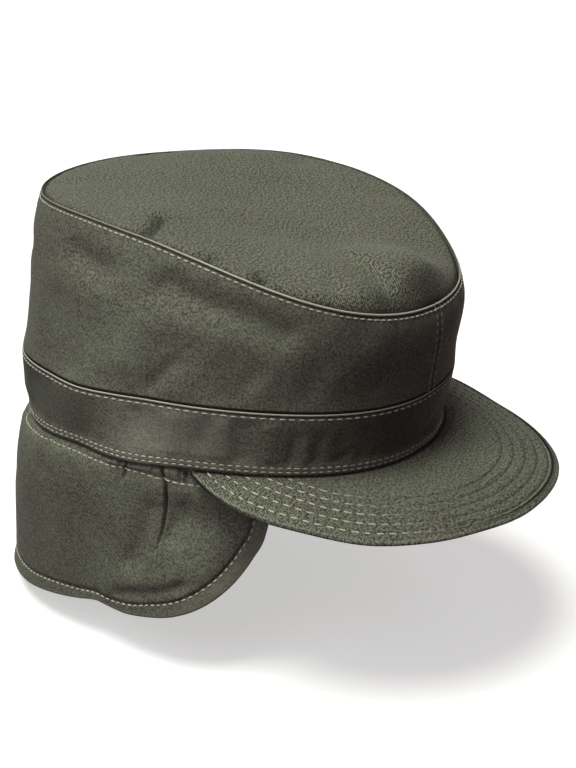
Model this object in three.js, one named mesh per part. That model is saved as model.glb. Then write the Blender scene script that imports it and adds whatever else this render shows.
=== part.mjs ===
import * as THREE from 'three';

// A soft field cap in olive cotton twill, with a curtain folded down over the ears and nape.
// Millimetres, +Z up. The front of the cap faces -Y and the wearer's left side is +X.
// The origin is the middle of the head opening, at the mean level of the band's lower edge.
// Angles run round the head from the front: 0 front, 90 wearer's left, -90 wearer's right, 180 nape.

// Outlines of the cap from above, as squared ovals: half length, half width, middle's place along Y
const HEM_OVAL = { halfLength: 100, halfWidth: 84.7, middle: 0 };
const BAND_TOP_OVAL = { halfLength: 100.6, halfWidth: 85.7, middle: -3 };
const SEAM_OVAL = { halfLength: 94.2, halfWidth: 77.7, middle: -10.4 };
const OVAL_POWER = 2.16; // 2 is a true ellipse, and more is squarer

// Heights of the two lower edges and the top seam, as waves round the head
const HEM = { level: 0, frontRise: 0.7, endRise: -1.7, thirdWave: -1.2 };
const BAND_DEPTH = { level: 28.7, frontRise: -1.3 };
const SEAM = { level: 88.1, frontDrop: 17.6, endDrop: 7.5, fourthWave: 1.1 };
const DOME = 7.2; // how far the middle of the top panel stands up over its edge
const WALL_BULGE = 2.2; // fullness of the side wall, most of it near the top
const BULGE_POWER = 1.7;

// Thicknesses of the sewn layers, and the clearance between neighbours
const CLOTH = 1.5;
const BAND_CLOTH = 1.6;
const CURTAIN_CLOTH = 1.6;
const VISOR_BOARD = 3;
const VISOR_RIM = 1.8;
const GAP = 0.3;
const TUCK = 8; // how far the side wall and the curtain reach up or down inside the band
const SHOULDER = 7; // height over the band in which the side wall comes out to its full width

// Visor: half its spread along the band, and its reach and droop from the middle, 0, to the tip, 1
const VISOR_SPREAD = 70;
const VISOR_REACH = [
  { across: 0, reach: 55 },
  { across: 0.35, reach: 46.4 },
  { across: 0.65, reach: 30 },
  { across: 0.88, reach: 12 },
  { across: 1, reach: 0 },
];
const VISOR_DROOP = { middle: 10.6, tip: 25 }; // degrees under level
const VISOR_CROWN = 1.6; // how far the visor arches over a straight slope

// Curtain: where it starts beside the temple, and its lower edge and outward flare round the head
const CURTAIN_START = 50;
const CURTAIN = [
  { angle: 50, edge: -16, flare: 3.6 },
  { angle: 51.2, edge: -24, flare: 3.7 },
  { angle: 54, edge: -33.5, flare: 3.8 },
  { angle: 58, edge: -43.5, flare: 4 },
  { angle: 62.5, edge: -52.2, flare: 4.3 },
  { angle: 67, edge: -58.8, flare: 4.6 },
  { angle: 73.5, edge: -66, flare: 5 },
  { angle: 79, edge: -69.8, flare: 5.3 },
  { angle: 86, edge: -71.4, flare: 5.8 },
  { angle: 93, edge: -71.2, flare: 6.5 },
  { angle: 99, edge: -72.4, flare: 7.2 },
  { angle: 107, edge: -75.2, flare: 8.3 },
  { angle: 118, edge: -78.6, flare: 9.8 },
  { angle: 132, edge: -81.6, flare: 10.6 },
  { angle: 152, edge: -84, flare: 10.6 },
  { angle: 180, edge: -85, flare: 10.4 },
];
const FLARE_SLOPE = 0.38; // share of the flare that grows evenly down to the hem
const FLARE_FALL = 6.5; // drop in which the rest comes nearly full
const CURTAIN_DEPTH = 85;
const UNDER_VISOR = 4; // extra drop before the flare starts where the visor lies over the curtain
const VISOR_CLEAR = 74; // angle past which nothing of the visor lies over the curtain

// Folds in the side wall. Each runs between two points of the wall; a ridge has a depth under 0.
const WALL_FOLDS = [
  { angle: -80, height: 88, toAngle: -50, toHeight: 68, depth: 2.2, width: 8 },
  { angle: -84, height: 75, toAngle: -66, toHeight: 65, depth: -1.3, width: 9 },
  { angle: -108, height: 91, toAngle: -94, toHeight: 85, depth: 1.6, width: 7 },
  { angle: -104, height: 78, toAngle: -96, toHeight: 76, depth: -0.7, width: 7 },
  { angle: -72, height: 57, toAngle: -83, toHeight: 32, depth: 1.9, width: 5 },
  { angle: -70, height: 52, toAngle: -76, toHeight: 34, depth: -1.6, width: 6 },
  { angle: -57, height: 48, toAngle: -62, toHeight: 33, depth: 1.6, width: 5 },
  { angle: -52, height: 46, toAngle: -56, toHeight: 33, depth: -1.2, width: 6 },
  { angle: -40, height: 44, toAngle: -43, toHeight: 31, depth: 1.3, width: 5 },
  { angle: -150, height: 84, toAngle: -128, toHeight: 66, depth: 1.6, width: 9 },
];

// Dents and ridges in the top panel, between two points seen from above
const TOP_FOLDS = [
  { x: -73, y: -10, toX: -58, toY: -4, depth: 2.6, width: 5 },
  { x: -52, y: -2, toX: -22, toY: -22, depth: -1.6, width: 13 },
  { x: -34, y: -17, toX: 2, toY: -67, depth: 2.2, width: 14 },
  { x: -69, y: -41, toX: -61, toY: -38, depth: 1.6, width: 5 },
  { x: -64, y: -59, toX: -56, toY: -55, depth: 1.6, width: 5 },
  { x: -4, y: -98, toX: 12, toY: -89, depth: 4, width: 6 },
  { x: -29, y: -93, toX: -26, toY: -85, depth: 1.6, width: 5 },
];

// Gathers and swells of the curtain, the same on both sides of the head
const CURTAIN_FOLDS = [
  { angle: 70.8, height: -2, toAngle: 71, toHeight: -10, depth: 1.6, width: 2.6 },
  { angle: 75.4, height: -2, toAngle: 74.6, toHeight: -34, depth: 2.8, width: 3.4 },
  { angle: 85.8, height: -2, toAngle: 86.2, toHeight: -14, depth: 1.9, width: 2.8 },
  { angle: 78, height: -36, toAngle: 65, toHeight: -28, depth: -2, width: 9 },
  { angle: 80, height: -50, toAngle: 67, toHeight: -43, depth: 2.2, width: 7 },
  { angle: 92, height: -52, toAngle: 93, toHeight: -70, depth: 1.6, width: 5 },
  { angle: 112, height: -3, toAngle: 113, toHeight: -16, depth: 1.8, width: 4 },
  { angle: 141, height: -3, toAngle: 140, toHeight: -30, depth: 2.2, width: 6 },
  { angle: 163, height: -3, toAngle: 164, toHeight: -14, depth: 1.8, width: 5 },
  { angle: 158, height: -58, toAngle: 160, toHeight: -84, depth: 2.4, width: 11 },
];
const MEAN_RADIUS = 92; // turns an angle round the head into a length along the cloth
const FOLD_FADE = 6; // folds die away over this height above the band
const RIM_FADE = 0.06; // and over this share of the top panel's radius at its seam

// Divisions of each skin
const ROUND = 72;
const HALF_ROUND = 36;
const BAND_ROWS = [0, 0.5, 1];
const WALL_ROWS = [0, 0.08, 0.2, 0.34, 0.48, 0.62, 0.76, 0.9, 1];
const TOP_RINGS = [1, 0.97, 0.91, 0.82, 0.7, 0.56, 0.4, 0.22];
const VISOR_COLUMNS = 40;
const VISOR_ROWS = [0, 0.25, 0.55, 0.85, 1];
const CURTAIN_COLUMNS = 92;
const CURTAIN_TOP_DROPS = [0.8, 3.6, 8];
const CURTAIN_LOWER_ROWS = [0.16, 0.36, 0.58, 0.8, 0.94, 1];
const END_CROWDING = 0.6; // how much closer the curtain's columns are at its two front edges

const OUTSIDE = 0;
const INSIDE = 1;

const radians = THREE.MathUtils.degToRad;
const wave = (angle, times) => Math.cos(radians(times * angle));

function squared(value) {
  return Math.sign(value) * Math.abs(value) ** (2 / OVAL_POWER);
}

// A point of an oval pushed outwards by offset, at the given height
function ovalPoint(oval, angle, offset, height) {
  return new THREE.Vector3(
    (oval.halfWidth + offset) * squared(Math.sin(radians(angle))),
    oval.middle - (oval.halfLength + offset) * squared(Math.cos(radians(angle))),
    height,
  );
}

function hemHeight(angle) {
  return HEM.level + HEM.frontRise * wave(angle, 1) + HEM.endRise * wave(angle, 2)
    + HEM.thirdWave * wave(angle, 3);
}

function bandTopHeight(angle) {
  return hemHeight(angle) + BAND_DEPTH.level + BAND_DEPTH.frontRise * wave(angle, 1);
}

// The top panel is a stretched skin: each wave of its edge dies away towards the middle
function panelHeight(angle, share) {
  return SEAM.level - SEAM.frontDrop * share * wave(angle, 1) - SEAM.endDrop * share ** 2 * wave(angle, 2)
    + SEAM.fourthWave * share ** 4 * wave(angle, 4) + DOME * (1 - share ** 4);
}

const seamHeight = (angle) => panelHeight(angle, 1);

// A column of a table, smoothed between its rows
function column(rows, key, value) {
  const curve = new THREE.CubicInterpolant(rows.map((row) => row[key]), rows.map((row) => row[value]), 1);
  return (at) => curve.evaluate(at)[0];
}

// How deep a fold between two points presses at a third one
function foldDepth(across, up, fromAcross, fromUp, toAcross, toUp, depth, width) {
  const line = new THREE.Line3(new THREE.Vector3(fromAcross, fromUp, 0), new THREE.Vector3(toAcross, toUp, 0));
  const here = new THREE.Vector3(across, up, 0);
  const nearest = line.closestPointToPoint(here, true, new THREE.Vector3());
  return depth * Math.exp(-((here.distanceTo(nearest) / width) ** 2));
}

function surfaceFolds(rows, angle, height) {
  const along = (degrees) => radians(degrees) * MEAN_RADIUS;
  return rows.reduce((sum, row) => sum + foldDepth(along(angle), height, along(row.angle), row.height,
    along(row.toAngle), row.toHeight, row.depth, row.width), 0);
}

// A closed wall from two grids of points, one for each face, joined along their borders.
// Rows run upwards, or inwards on a level skin. With closed set, the last column meets the first.
// With middleAt given, the skin closes in a single point past the last row.
function wallGeometry(columns, rows, closed, pointAt, middleAt) {
  const positions = [];
  const triangles = [];
  const across = closed ? columns : columns + 1;
  for (const face of [OUTSIDE, INSIDE]) {
    for (let row = 0; row < rows; row += 1) {
      for (let step = 0; step < across; step += 1) positions.push(...pointAt(step, row, face).toArray());
    }
  }
  const index = (face, row, step) => (face * rows + row) * across + (closed ? step % columns : step);
  const quad = (a, b, c, d) => triangles.push(a, b, c, a, c, d);
  for (let step = 0; step < columns; step += 1) {
    for (let row = 0; row + 1 < rows; row += 1) {
      quad(index(OUTSIDE, row, step), index(OUTSIDE, row, step + 1),
        index(OUTSIDE, row + 1, step + 1), index(OUTSIDE, row + 1, step));
      quad(index(INSIDE, row, step + 1), index(INSIDE, row, step),
        index(INSIDE, row + 1, step), index(INSIDE, row + 1, step + 1));
    }
    quad(index(INSIDE, 0, step), index(INSIDE, 0, step + 1),
      index(OUTSIDE, 0, step + 1), index(OUTSIDE, 0, step));
    if (!middleAt) {
      quad(index(OUTSIDE, rows - 1, step), index(OUTSIDE, rows - 1, step + 1),
        index(INSIDE, rows - 1, step + 1), index(INSIDE, rows - 1, step));
    }
  }
  if (middleAt) {
    const middles = [OUTSIDE, INSIDE].map((face) => {
      positions.push(...middleAt(face).toArray());
      return positions.length / 3 - 1;
    });
    for (let step = 0; step < columns; step += 1) {
      triangles.push(index(OUTSIDE, rows - 1, step), index(OUTSIDE, rows - 1, step + 1), middles[OUTSIDE]);
      triangles.push(index(INSIDE, rows - 1, step + 1), index(INSIDE, rows - 1, step), middles[INSIDE]);
    }
  }
  if (!closed) {
    for (let row = 0; row + 1 < rows; row += 1) {
      quad(index(OUTSIDE, row, 0), index(OUTSIDE, row + 1, 0),
        index(INSIDE, row + 1, 0), index(INSIDE, row, 0));
      quad(index(INSIDE, row, columns), index(INSIDE, row + 1, columns),
        index(OUTSIDE, row + 1, columns), index(OUTSIDE, row, columns));
    }
  }
  const geometry = new THREE.BufferGeometry();
  geometry.setAttribute('position', new THREE.Float32BufferAttribute(positions, 3));
  geometry.setIndex(triangles);
  geometry.computeVertexNormals();
  return geometry;
}

// A point of the band, share 0 at its lower edge and 1 at its upper edge
function bandPoint(angle, share, offset) {
  const low = ovalPoint(HEM_OVAL, angle, offset, hemHeight(angle));
  return low.lerp(ovalPoint(BAND_TOP_OVAL, angle, offset, bandTopHeight(angle)), share);
}

// The band, a ring of doubled cloth
function bandGeometry() {
  return wallGeometry(ROUND, BAND_ROWS.length, true, (step, row, face) => (
    bandPoint((360 * step) / ROUND, BAND_ROWS[row], face === OUTSIDE ? 0 : -BAND_CLOTH)));
}

// A point of the side wall over the band, share 0 at the band's upper edge and 1 at the top seam
function wallPoint(angle, share, depth) {
  const low = bandTopHeight(angle) + GAP;
  const height = THREE.MathUtils.lerp(low, seamHeight(angle), share);
  const tucked = (BAND_CLOTH + GAP) * (1 - THREE.MathUtils.smoothstep(height, low, low + SHOULDER));
  const bulge = WALL_BULGE * Math.sin(Math.PI * share ** BULGE_POWER);
  const fade = THREE.MathUtils.smoothstep(height, low, low + FOLD_FADE)
    * (1 - THREE.MathUtils.smoothstep(share, 0.94, 1));
  const side = angle > 180 ? angle - 360 : angle;
  const folds = fade * surfaceFolds(WALL_FOLDS, -Math.abs(side), height);
  const offset = bulge - tucked - folds - depth;
  return ovalPoint(BAND_TOP_OVAL, angle, offset, height).lerp(ovalPoint(SEAM_OVAL, angle, offset, height), share);
}

// One half of the side wall, from a seam at the front to a seam at the nape
function sideGeometry(fromAngle) {
  const margin = THREE.MathUtils.radToDeg(GAP / 2 / HEM_OVAL.halfLength);
  const rows = WALL_ROWS.length + 1;
  return wallGeometry(HALF_ROUND, rows, false, (step, row, face) => {
    const angle = THREE.MathUtils.lerp(fromAngle + margin, fromAngle + 180 - margin, step / HALF_ROUND);
    const depth = face === OUTSIDE ? 0 : CLOTH;
    if (row > 0) return wallPoint(angle, WALL_ROWS[row - 1], depth);
    return bandPoint(angle, 1 - TUCK / BAND_DEPTH.level, -BAND_CLOTH - GAP - depth);
  });
}

// The top panel, domed and creased, set inside the side wall's upper edge
function topPoint(angle, share, face) {
  const edge = ovalPoint(SEAM_OVAL, angle, -CLOTH - GAP, 0);
  const middle = new THREE.Vector3(0, SEAM_OVAL.middle, 0);
  const point = middle.lerp(edge, share);
  const fade = THREE.MathUtils.smoothstep(1 - share, 0, RIM_FADE);
  const folds = TOP_FOLDS.reduce((sum, row) => sum + foldDepth(point.x, point.y, row.x, row.y,
    row.toX, row.toY, row.depth, row.width), 0);
  point.z = panelHeight(angle, share) - fade * folds - (face === OUTSIDE ? GAP : GAP + CLOTH);
  return point;
}

function topGeometry() {
  const at = (step, row, face) => topPoint((360 * step) / ROUND, TOP_RINGS[row], face);
  return wallGeometry(ROUND, TOP_RINGS.length, true, at, (face) => topPoint(0, 0, face));
}

// The visor, a crescent of board between two cloths, sewn on under the band's front
function visorGeometry() {
  const squaredRows = VISOR_REACH.map((row) => ({ across: row.across ** 2, reach: row.reach }));
  const reachAt = column(squaredRows, 'across', 'reach');
  return wallGeometry(VISOR_COLUMNS, VISOR_ROWS.length, false, (step, row, face) => {
    const across = (2 * step) / VISOR_COLUMNS - 1;
    const angle = VISOR_SPREAD * across;
    const share = VISOR_ROWS[VISOR_ROWS.length - 1 - row];
    const root = ovalPoint(HEM_OVAL, angle, -BAND_CLOTH, 0);
    const edge = ovalPoint(HEM_OVAL, angle, 0, 0);
    edge.add(new THREE.Vector3(Math.sin(radians(angle)), -Math.cos(radians(angle)), 0)
      .multiplyScalar(Math.max(0, reachAt(across ** 2))));
    const length = root.distanceTo(edge);
    const droop = THREE.MathUtils.lerp(VISOR_DROOP.middle, VISOR_DROOP.tip, across ** 2);
    const arch = VISOR_CROWN * Math.sin(Math.PI * share) * (1 - across ** 2);
    const board = THREE.MathUtils.lerp(VISOR_BOARD, VISOR_RIM, share ** 4);
    const point = root.clone().lerp(edge, share);
    point.z = hemHeight(angle) - GAP - share * length * Math.tan(radians(droop)) + arch
      - (face === OUTSIDE ? 0 : board);
    return point;
  });
}

// The curtain, one doubled cloth gathered into the band from temple to temple round the nape
function curtainGeometry() {
  const edgeAt = column(CURTAIN, 'angle', 'edge');
  const flareAt = column(CURTAIN, 'angle', 'flare');
  const rows = 1 + CURTAIN_TOP_DROPS.length + CURTAIN_LOWER_ROWS.length;
  return wallGeometry(CURTAIN_COLUMNS, rows, false, (step, rowFromEdge, face) => {
    const row = rows - 1 - rowFromEdge;
    const even = step / CURTAIN_COLUMNS;
    const crowded = even - (END_CROWDING * Math.sin(2 * Math.PI * even)) / (2 * Math.PI);
    const angle = THREE.MathUtils.lerp(CURTAIN_START, 360 - CURTAIN_START, crowded);
    const turned = Math.min(angle, 360 - angle);
    const depth = face === OUTSIDE ? 0 : CURTAIN_CLOTH;
    if (row === 0) return bandPoint(angle, TUCK / BAND_DEPTH.level, -BAND_CLOTH - GAP - depth);
    const hem = hemHeight(angle);
    const upper = hem - CURTAIN_TOP_DROPS[CURTAIN_TOP_DROPS.length - 1];
    const height = row <= CURTAIN_TOP_DROPS.length
      ? hem - CURTAIN_TOP_DROPS[row - 1]
      : THREE.MathUtils.lerp(upper, edgeAt(turned), CURTAIN_LOWER_ROWS[row - CURTAIN_TOP_DROPS.length - 1]);
    const held = CURTAIN_TOP_DROPS[0]
      + UNDER_VISOR * (1 - THREE.MathUtils.smoothstep(turned, VISOR_SPREAD, VISOR_CLEAR));
    const drop = Math.max(0, hem - held - height);
    const swell = (1 - FLARE_SLOPE) * (1 - Math.exp(-drop / FLARE_FALL)) + FLARE_SLOPE * (drop / CURTAIN_DEPTH);
    const folds = swell * surfaceFolds(CURTAIN_FOLDS, turned, height);
    const offset = flareAt(turned) * swell - folds - BAND_CLOTH - GAP - depth;
    return ovalPoint(HEM_OVAL, angle, offset, height);
  });
}

function clothMesh(name, geometry, color) {
  const material = new THREE.MeshStandardMaterial({ color, roughness: 0.92, metalness: 0 });
  const mesh = new THREE.Mesh(geometry, material);
  mesh.name = name;
  return mesh;
}

const TWILL = '#686b5a';
const TWILL_SHADE = '#5f6153';

const group = new THREE.Group();
group.add(clothMesh('crown_top', topGeometry(), TWILL));
group.add(clothMesh('crown_side_left', sideGeometry(0), TWILL_SHADE));
group.add(clothMesh('crown_side_right', sideGeometry(180), TWILL_SHADE));
group.add(clothMesh('band', bandGeometry(), TWILL));
group.add(clothMesh('visor', visorGeometry(), TWILL));
group.add(clothMesh('ear_flap', curtainGeometry(), TWILL_SHADE));

export default group;
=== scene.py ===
# %% [markdown]
# # A field cap in olive twill
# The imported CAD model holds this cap's true sizes and stays as it is. This lesson sews a finer cap
# over it: the same outlines, with soft creases, turned edges, gathers, weave and every row of stitches.
# All lengths below are in millimetres, and turn into Blender's metres where a mesh is made.
# %% Load the fixed frame
import math

import bmesh
import bpy
import numpy as np
from mathutils import Matrix, Vector


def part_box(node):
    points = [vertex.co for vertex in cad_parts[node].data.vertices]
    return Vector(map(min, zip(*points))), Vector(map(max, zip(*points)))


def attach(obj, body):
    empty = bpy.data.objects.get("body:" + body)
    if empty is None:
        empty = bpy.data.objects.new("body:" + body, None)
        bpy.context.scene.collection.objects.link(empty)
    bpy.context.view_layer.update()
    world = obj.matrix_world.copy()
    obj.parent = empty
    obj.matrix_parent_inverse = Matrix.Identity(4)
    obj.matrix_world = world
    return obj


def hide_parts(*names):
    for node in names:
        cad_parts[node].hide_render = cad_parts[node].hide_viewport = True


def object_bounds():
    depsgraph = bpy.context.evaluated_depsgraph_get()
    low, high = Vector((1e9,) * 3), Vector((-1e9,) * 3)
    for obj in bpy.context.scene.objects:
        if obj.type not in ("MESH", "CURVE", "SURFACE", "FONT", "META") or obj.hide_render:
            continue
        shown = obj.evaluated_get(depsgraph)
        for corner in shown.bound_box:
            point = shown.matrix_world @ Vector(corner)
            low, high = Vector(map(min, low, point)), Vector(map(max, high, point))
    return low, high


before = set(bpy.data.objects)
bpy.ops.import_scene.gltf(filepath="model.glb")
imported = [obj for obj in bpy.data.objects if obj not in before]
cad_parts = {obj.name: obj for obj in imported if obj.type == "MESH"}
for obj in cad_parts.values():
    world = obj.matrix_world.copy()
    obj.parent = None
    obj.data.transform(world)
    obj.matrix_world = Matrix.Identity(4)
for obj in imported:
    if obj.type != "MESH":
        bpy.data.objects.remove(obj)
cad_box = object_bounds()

MM = 0.001
FAR = 1e9  # further away than anything here
for name in sorted(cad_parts):
    low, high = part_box(name)
    print(f"{name:18s} {[round(1000 * side) for side in high - low]} mm")

# %% [markdown]
# ## Paths round the head
# A cap is sewn from flat cloth round an oval head, so almost every seam is an oval seen from above.
# A subdivided box could be pulled into that shape by hand, but a rule is easier to change: each seam
# is an oval with slightly squared ends, and each height is a sum of waves round the head. Angles run
# from the front, 0, past the wearer's left, 90, to the nape, 180. The right side has angles below 0.
# %% The ovals and heights of the seams
HEM_OVAL = {"half_length": 100, "half_width": 84.7, "middle": 0}
BAND_TOP_OVAL = {"half_length": 100.6, "half_width": 85.7, "middle": -3}
SEAM_OVAL = {"half_length": 94.2, "half_width": 77.7, "middle": -10.4}
OVAL_POWER = 2.16  # 2 is a true ellipse, and more is squarer
MEAN_RADIUS = 92  # turns an angle round the head into a length along the cloth
BAND_DEPTH = 28.7
SEAM_LEVEL = 88.1  # mean height of the top seam
DOME = 7.2  # how far the top panel's middle rises over it
LEAN_LEVEL = 14  # the height about which the band leans at the right rear


def wave(angle, times):
    return np.cos(np.radians(times * angle))


def squared(value):
    return np.sign(value) * np.abs(value) ** (2 / OVAL_POWER)


def oval_point(oval, angle, offset, height):
    """Points of an oval pushed outwards by offset, at the given height."""
    across = (oval["half_width"] + offset) * squared(np.sin(np.radians(angle)))
    along = oval["middle"] - (oval["half_length"] + offset) * squared(np.cos(np.radians(angle)))
    return np.stack(np.broadcast_arrays(across, along, height), axis=-1)


def signed(angle):
    """The same angle, counted from -180 to 180."""
    return (angle + 180) % 360 - 180


def bell(value, middle, width):
    """A hill of height 1 round the middle, which falls to about a third a width away."""
    return np.exp(-(((value - middle) / width) ** 2))


def bells(value, *rows):
    """A sum of bells, from rows of size, middle and width."""
    return sum(size * bell(value, middle, width) for size, middle, width in rows)


def ramp(value, low, high):
    """A smooth rise from 0 at low to 1 at high."""
    share = np.clip((value - low) / (high - low), 0, 1)
    return share * share * (3 - 2 * share)


def hem_height(angle):
    """The band's lower edge, which sags a little over the right ear."""
    waves = 0.7 * wave(angle, 1) - 1.7 * wave(angle, 2) - 1.2 * wave(angle, 3)
    return waves + bells(signed(angle), (-1, -94, 13), (-2, -148, 22))


def band_height(angle):
    """How deep the band is."""
    return BAND_DEPTH - 1.3 * wave(angle, 1)


def panel_height(angle, share):
    """The top panel's skin, from its middle, share 0, to the top seam, share 1."""
    slant = -17.6 * share * wave(angle, 1) - 7.5 * share**2 * wave(angle, 2)
    slant += 1.1 * share**4 * wave(angle, 4)
    lift = 1.9 * bell(signed(angle), 62, 17) + 0.7 * bell(signed(angle - 160), 0, 38)
    return SEAM_LEVEL + slant + DOME * (1 - share**4) + lift * share**3


def drawn_in(angle, height):
    """How far the band and the wall above it lie inside their plain ovals, or outside them."""
    turned = signed(angle)
    temple = bell(turned, 26, 20) * (1.7 - 1.5 * ramp(height, 0, 26)) * bell(height, 0, 40)
    temple = temple - 1.3 * bell(turned, 34, 22) * bell(height, 60, 9)
    nape = 3 * (1 - ramp(height, -2, 10)) + bells(height, (-0.6, 22, 10), (0.8, 48, 16))
    lean = (1 - height / LEAN_LEVEL) * bell(height, 10, 22)
    lean = lean * bells(turned, (2.6, -101, 8), (-2.6, -84, 9))
    return temple + lean + bell(turned, -144, 20) * nape


def arc(angle):
    """Length along the cloth at an angle, counted from the front."""
    return np.radians(angle) * MEAN_RADIUS


print("the band is", round(float(band_height(np.array(0.0))), 1), "mm deep at the front")

# %% [markdown]
# ## Soft steps and pressed folds
# Cloth never steps: a turned edge, a stitched channel or a crease rises and falls smoothly. Sculpting
# would give such forms too, but not twice the same. Here every crease is a short line on the cloth with
# a depth and a width, and the cloth sinks along it as a bell curve does. A ridge has a depth under 0.
# %% Folds, ripples and tables
def folds(rows, fade=0.0, along_cloth=True):
    """Folds from rows that hold the angle and the height of each point, then a depth and a width. The
    angles become lengths along the cloth. A fold with a fade of 1 runs out to nothing at its last point."""
    made = []
    for *points, depth, width in rows:
        path = np.array(points, float).reshape(-1, 2)
        if along_cloth:
            path[:, 0] = arc(path[:, 0])
        made.append({"path": path, "depth": depth, "width": width, "fade": fade})
    return made


def pressed(across, up, all_folds):
    """How deep all folds together press the cloth at a place on it."""
    depth = 0
    for fold in all_folds:
        nearest = np.full(np.broadcast(across, up).shape, FAR)
        passed = 0 * nearest
        pieces = len(fold["path"]) - 1
        for number, (start, end) in enumerate(zip(fold["path"][:-1], fold["path"][1:])):
            run = end - start
            share = ((across - start[0]) * run[0] + (up - start[1]) * run[1]) / (run @ run)
            share = np.clip(share, 0, 1)
            away = np.hypot(across - start[0] - share * run[0], up - start[1] - share * run[1])
            passed = np.where(away < nearest, (number + share) / pieces, passed)
            nearest = np.minimum(nearest, away)
        depth += fold["depth"] * bell(nearest, 0, fold["width"]) * (1 - fold["fade"] * passed**2)
    return depth


RIPPLE = ((1, 0), (1.37, 2.1), (0.71, 4.4))  # length and shift of three waves out of step


def ripple(along, length, turn):
    """An uneven ripple of about the given length, from 0 to 1."""
    waves = sum(np.sin(2 * np.pi * along / (length * part) + turn * part + shift) for part, shift in RIPPLE)
    return 0.5 + waves / (2 * len(RIPPLE))


def curve_through(rows):
    """A smooth curve through rows of (place, value)."""
    place, value = np.array(rows, float).T
    step = np.diff(place)
    rise = np.diff(value) / step
    inner = (step[1:] * rise[:-1] + step[:-1] * rise[1:]) / (step[1:] + step[:-1])
    slope = np.concatenate([rise[:1], inner, rise[-1:]])

    def curve(at):
        at = np.clip(at, place[0], place[-1])
        row = np.clip(np.searchsorted(place, at, side="right") - 1, 0, len(step) - 1)
        share = (at - place[row]) / step[row]
        rest = 1 - share
        held = value[row] * (1 + 2 * share) * rest**2 + value[row + 1] * share**2 * (3 - 2 * share)
        return held + step[row] * share * rest * (slope[row] * rest - slope[row + 1] * share)

    return curve


print("a fold 2 mm deep and 5 mm wide is", round(float(2 * bell(5, 0, 5)), 2), "mm deep 5 mm away")

# %% [markdown]
# ## Cloth as a closed wall
# Real cloth has two faces and an edge. Solidify could thicken a single sheet, but the turned edges of a
# cap are what the light catches, so this builder takes the outer and inner face as two grids of points,
# joins them, and rounds each edge with half a circle. It also writes a UV map in real metres of cloth,
# so that the weave runs along each piece as it was cut, and a mark for where the edges have rubbed pale
# and carry a painted highlight, and where painted shade darkens the grooves beside the seams.
# %% Build a wall from two faces
RIM_TURNS = np.radians([36, 72, 108, 144])
RIM_FADE = (1, 0.6, 0.2, 0)  # the mark, wear and painted light, on the rows of a rim


def in_scene(name, data):
    """A new object in the scene, from a mesh, a lamp or a camera."""
    made = bpy.data.objects.new(name, data)
    bpy.context.scene.collection.objects.link(made)
    return made


def unit(vectors):
    """The same directions with a length of 1."""
    return vectors / np.maximum(np.linalg.norm(vectors, axis=-1, keepdims=True), 1e-9)


def rounded_rim(edge, facing, before):
    """The rows of points round an edge, from one face to the other."""
    middle = (edge + facing) / 2
    half = (edge - facing) / 2
    out = unit(edge - before) * np.linalg.norm(half, axis=-1, keepdims=True)
    return [middle + half * math.cos(turn) + out * math.sin(turn) for turn in RIM_TURNS]


def rim_cloth(edge, facing, flat, flat_before):
    """The places of a rim's rows on the flat cloth, out to the middle of the rim and back."""
    out = unit(flat - flat_before) * (np.linalg.norm(edge - facing, axis=-1).mean() / 2)
    return [flat + out * min(turn, math.pi - turn) for turn in RIM_TURNS]


def cloth_wall(name, outer, inner, flat, outer_wear_and_light, ring=False, pole=False, rim_fade=RIM_FADE):
    """A closed mesh from grids [row, column] of outer and inner points.
    ring joins the last column to the first, and pole closes the last row in one point.
    outer_wear_and_light is the mark of the outer face: up to 1 where it is pale from wear and a painted
    highlight, down to -1 where shade is painted."""
    far_rim = [] if pole else rounded_rim(outer[-1], inner[-1], outer[-2])
    far_flat = [] if pole else rim_cloth(outer[-1], inner[-1], flat[-1], flat[-2])
    points = np.array([*outer, *far_rim, *inner[::-1], *rounded_rim(inner[0], outer[0], inner[1])])
    cloth = np.array([*flat, *far_flat, *flat[::-1], *rim_cloth(inner[0], outer[0], flat[0], flat[1])])
    far_mark = [outer_wear_and_light[-1] * fade for fade in rim_fade[: len(far_rim)]]
    near_mark = [outer_wear_and_light[0] * fade for fade in rim_fade[::-1]]
    wear_and_painted_light = np.array([*outer_wear_and_light, *far_mark, *0 * outer_wear_and_light, *near_mark])
    rows, columns = points.shape[:2]
    row = np.arange(rows)[:, None]
    step = np.arange(columns if ring else columns - 1)[None, :]
    if pole:
        row = np.delete(row, len(outer) - 1, axis=0)
    corners = [(row, step), (row, step + 1), (row + 1, step + 1), (row + 1, step)]
    faces = np.stack([(r % rows) * columns + c % columns for r, c in corners], -1).reshape(-1, 4)
    places = np.stack([cloth[r % rows, np.minimum(c, cloth.shape[1] - 1)] for r, c in corners], -2)
    mesh = bpy.data.meshes.new(name)
    ends = [] if ring else end_caps(len(outer), rows, columns)
    mesh.from_pydata(points.reshape(-1, 3) * MM, [], [*faces.tolist(), *ends])
    values = np.zeros((len(mesh.loops), 2))
    values[: faces.size] = places.reshape(-1, 2) * MM
    mesh.uv_layers.new(name="cloth").data.foreach_set("uv", values.ravel())
    # The mark holds wear and painted light: pale for wear and painted highlights, dark for painted shade.
    mark = mesh.attributes.new("wear_and_painted_light", "FLOAT", "POINT")
    mark.data.foreach_set("value", wear_and_painted_light.ravel().astype(np.float32))
    mesh.shade_smooth()
    if pole:
        weld(mesh)
    print(name, "has", sum(len(face.vertices) - 2 for face in mesh.polygons), "triangles")
    return in_scene(name, mesh)


def end_caps(skin_rows, rows, columns):
    """Faces that close the first and last column of an open wall."""
    rim = len(RIM_TURNS)
    strip = [[row, row + 1, rows - rim - row - 2, rows - rim - row - 1] for row in range(skin_rows - 1)]
    strip.append([skin_rows - 1 + turn for turn in range(rim + 2)])
    strip.append([rows - 1 - rim + turn for turn in range(rim + 1)] + [0])
    first = [[row * columns for row in face] for face in strip]
    last = [[corner + columns - 1 for corner in face[::-1]] for face in first]
    return first + last


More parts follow.
